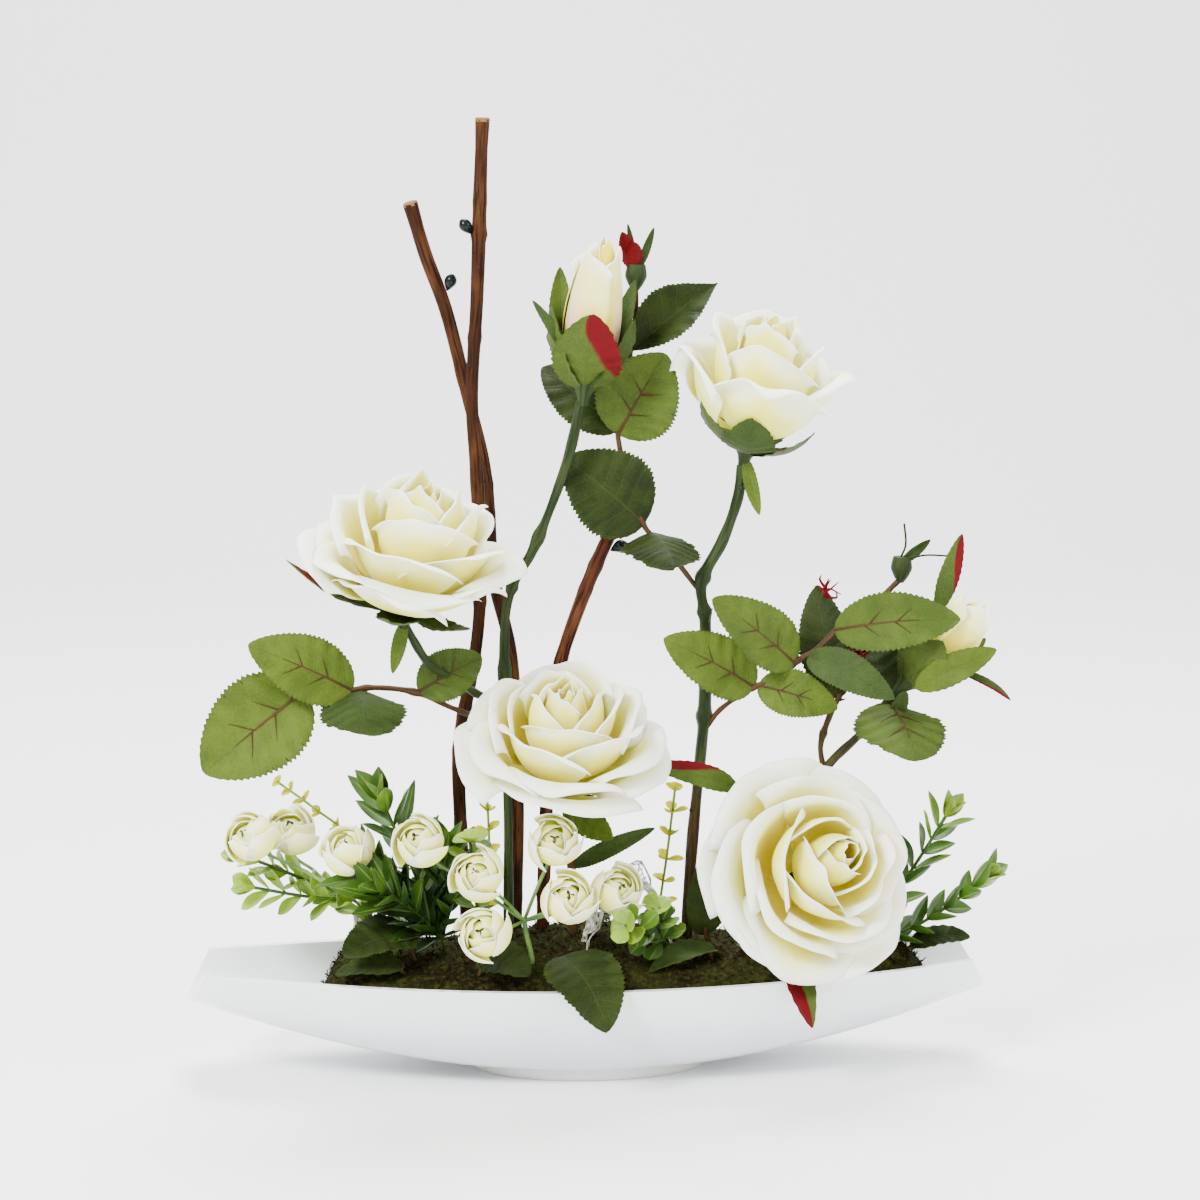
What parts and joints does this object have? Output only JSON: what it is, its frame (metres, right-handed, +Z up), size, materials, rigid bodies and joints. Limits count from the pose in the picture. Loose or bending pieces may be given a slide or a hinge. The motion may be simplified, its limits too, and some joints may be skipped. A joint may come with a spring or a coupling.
{
  "type": "flower arrangement in boat bowl",
  "caption": "Low ikebana style arrangement of ivory silk roses, buds, bare twigs and greenery standing in moss in a long white boat-shaped bowl, for a table or sideboard.",
  "frame": {"origin": "centre of the underside of the bowl's foot", "axes": "+Z up, X along the bowl with the tall branches on -X, the front of the arrangement faces -Y"},
  "size_m": [0.4107, 0.1764, 0.4696],
  "materials": {
    "bark": "matt brown bark, paler cut ends",
    "bud_gloss": "glossy dark green",
    "petal": "ivory polyester cloth, yellower in the depths",
    "stem": "grey-green moulded plastic with cloth leaves and red-tipped sepals",
    "porcelain": "white gloss glaze",
    "leaf_dark": "dark green printed cloth",
    "mini_petal": "cream cloth with a yellow-green centre",
    "mini_stem": "bright green moulded plastic",
    "fibre": "silvery stiff fibre net",
    "box_leaf": "green moulded plastic",
    "box_leaf_light": "yellow-green moulded plastic",
    "round_leaf": "fresh green moulded plastic",
    "blossom": "yellow flecks on a green stem",
    "foam": "dry floral foam, hidden",
    "moss": "brown-green preserved moss"
  },
  "bodies": {
    "root": {"branch_tall": "bark", "branch_left": "bark", "branch_right": "bark", "branch_bud_tall": "bud_gloss", "branch_bud_left": "bud_gloss", "branch_bud_right": "bud_gloss", "rose_left_petals": "petal", "rose_centre_petals": "petal", "rose_upper_petals": "petal", "rose_lower_petals": "petal", "bud_top_petals": "petal", "bud_right_petals": "petal", "main_stem": "stem", "upper_stem": "stem", "right_stem": "stem", "centre_stem": "stem", "lower_stem": "stem", "bowl": "porcelain", "base_leaf_left": "leaf_dark", "base_leaf_left_low": "leaf_dark", "base_leaf_front_left": "leaf_dark", "base_leaf_front": "leaf_dark", "base_leaf_front_right": "leaf_dark", "base_leaf_upright": "leaf_dark", "base_leaf_under_rose": "leaf_dark", "base_leaf_right": "leaf_dark", "base_leaf_back_left": "leaf_dark", "base_leaf_back": "leaf_dark", "base_leaf_back_right": "leaf_dark", "mini_bloom_left_1": "mini_petal", "mini_bloom_left_2": "mini_petal", "mini_bloom_left_3": "mini_petal", "mini_bloom_centre_1": "mini_petal", "mini_bloom_centre_2": "mini_petal", "mini_bloom_centre_3": "mini_petal", "mini_bloom_centre_4": "mini_petal", "mini_bloom_centre_5": "mini_petal", "mini_bloom_centre_6": "mini_petal", "mini_stems_left": "mini_stem", "mini_stems_centre": "mini_stem", "fibre_net_centre": "fibre", "fibre_net_left": "fibre", "box_spray_left": "box_leaf", "box_spray_right_upper": "box_leaf", "box_spray_right_lower": "box_leaf", "box_spray_light": "box_leaf_light", "round_spray_centre": "round_leaf", "round_spray_left": "round_leaf", "blossom_wisp_left": "blossom", "blossom_wisp_centre": "blossom", "blossom_wisp_right": "blossom", "foam_block": "foam", "moss_mound": "moss"}
  },
  "joints": []
}
